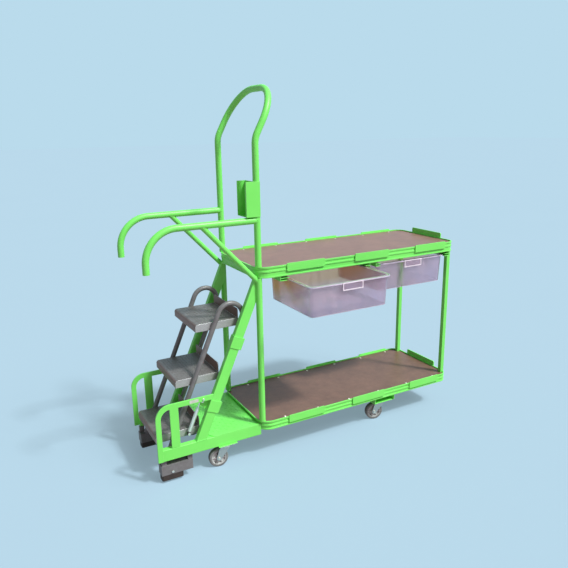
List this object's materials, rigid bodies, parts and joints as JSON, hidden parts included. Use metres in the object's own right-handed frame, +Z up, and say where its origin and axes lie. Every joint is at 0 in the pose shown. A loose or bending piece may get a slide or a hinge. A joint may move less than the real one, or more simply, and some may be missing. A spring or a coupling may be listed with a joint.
{
  "type": "order picking trolley",
  "caption": "Two-tier picking trolley with a sprung three-step ladder, push hoop, handrails, two pull-out trays under the shelf and four swivel casters.",
  "frame": {"origin": "on the floor, midway between the centres of the two uprights of the push hoop", "axes": "+X along the decks away from the ladder, +Y across towards the far side, +Z up; the trays draw out towards -Y"},
  "size_m": [1.821, 0.717, 1.8695],
  "materials": {
    "green_paint": "gloss powder coat",
    "grey_paint": "satin powder coat",
    "phenolic_board": "film-faced plywood",
    "zinc_steel": "zinc plated",
    "black_rubber": "matte",
    "wheel_plastic": "moulded",
    "tyre_rubber": "grey rubber",
    "clear_plastic": "clear moulded plastic"
  },
  "bodies": {
    "frame": {"upright_hoop": "green_paint", "handrail_near": "green_paint", "handrail_far": "green_paint", "handrail_caps": "green_paint", "brace_near": "green_paint", "brace_far": "green_paint", "stringer_near": "green_paint", "stringer_far": "green_paint", "guide_collars": "green_paint", "base_rail_near": "green_paint", "base_rail_far": "green_paint", "base_cross_members": "green_paint", "floor_plate": "green_paint", "guard_near": "green_paint", "guard_far": "green_paint", "deck_rim": "green_paint", "deck_board": "phenolic_board", "shelf_rim": "green_paint", "shelf_board": "phenolic_board", "retaining_strips": "green_paint", "end_stops": "green_paint", "post_near": "green_paint", "post_far": "green_paint", "tray_runners": "green_paint", "document_holder": "green_paint", "caster_channel": "green_paint", "caster_pads": "green_paint", "caster_heads": "zinc_steel", "gas_bracket": "green_paint", "gas_rod": "zinc_steel", "frame_fasteners": "zinc_steel"},
    "ladder": {"ladder_side_near": "grey_paint", "ladder_side_far": "grey_paint", "tread_top": "grey_paint", "tread_middle": "grey_paint", "tread_bottom": "grey_paint", "foot_brackets": "grey_paint", "rubber_feet": "black_rubber", "gas_cylinder": "zinc_steel", "ladder_fasteners": "zinc_steel"},
    "tray_1": {"tray_left": "clear_plastic"},
    "tray_2": {"tray_right": "clear_plastic"},
    "swivel_front_near": {"fork_front_near": "zinc_steel", "axle_front_near": "zinc_steel"},
    "wheel_front_near": {"hub_front_near": "wheel_plastic", "tyre_front_near": "tyre_rubber"},
    "swivel_front_far": {"fork_front_far": "zinc_steel", "axle_front_far": "zinc_steel"},
    "wheel_front_far": {"hub_front_far": "wheel_plastic", "tyre_front_far": "tyre_rubber"},
    "swivel_rear_near": {"fork_rear_near": "zinc_steel", "axle_rear_near": "zinc_steel"},
    "wheel_rear_near": {"hub_rear_near": "wheel_plastic", "tyre_rear_near": "tyre_rubber"},
    "swivel_rear_far": {"fork_rear_far": "zinc_steel", "axle_rear_far": "zinc_steel"},
    "wheel_rear_far": {"hub_rear_far": "wheel_plastic", "tyre_rear_far": "tyre_rubber"}
  },
  "joints": [
    {"name": "ladder_slide", "type": "slide", "parent": "frame", "child": "ladder", "axis": [-0.4043, 0, -0.9146], "range_m": [0, 0.0128], "stiffness_N_per_m": 9000, "springref_m": -0.02},
    {"name": "tray_left_slide", "type": "slide", "parent": "frame", "child": "tray_1", "axis": [0, -1, 0], "range_m": [-0.22, 0.13]},
    {"name": "tray_right_slide", "type": "slide", "parent": "frame", "child": "tray_2", "axis": [0, -1, 0], "range_m": [0, 0.35]},
    {"name": "swivel_front_near", "type": "hinge", "parent": "frame", "child": "swivel_front_near", "pos_m": [-0.198, -0.19, 0.1057], "axis": [0, 0, 1], "continuous": true},
    {"name": "roll_front_near", "type": "hinge", "parent": "swivel_front_near", "child": "wheel_front_near", "pos_m": [-0.23969, -0.18488, 0.05], "axis": [-0.1219, -0.9925, 0], "continuous": true},
    {"name": "swivel_front_far", "type": "hinge", "parent": "frame", "child": "swivel_front_far", "pos_m": [-0.198, 0.19, 0.1057], "axis": [0, 0, 1], "continuous": true},
    {"name": "roll_front_far", "type": "hinge", "parent": "swivel_front_far", "child": "wheel_front_far", "pos_m": [-0.23936, 0.18271, 0.05], "axis": [0.1736, -0.9848, 0], "continuous": true},
    {"name": "swivel_rear_near", "type": "hinge", "parent": "frame", "child": "swivel_rear_near", "pos_m": [0.788, -0.19, 0.1057], "axis": [0, 0, 1], "continuous": true},
    {"name": "roll_rear_near", "type": "hinge", "parent": "swivel_rear_near", "child": "wheel_rear_near", "pos_m": [0.74784, -0.17772, 0.05], "axis": [-0.2924, -0.9563, 0], "continuous": true},
    {"name": "swivel_rear_far", "type": "hinge", "parent": "frame", "child": "swivel_rear_far", "pos_m": [0.788, 0.19, 0.1057], "axis": [0, 0, 1], "continuous": true},
    {"name": "roll_rear_far", "type": "hinge", "parent": "swivel_rear_far", "child": "wheel_rear_far", "pos_m": [0.74677, 0.18199, 0.05], "axis": [0.1908, -0.9816, 0], "continuous": true}
  ]
}
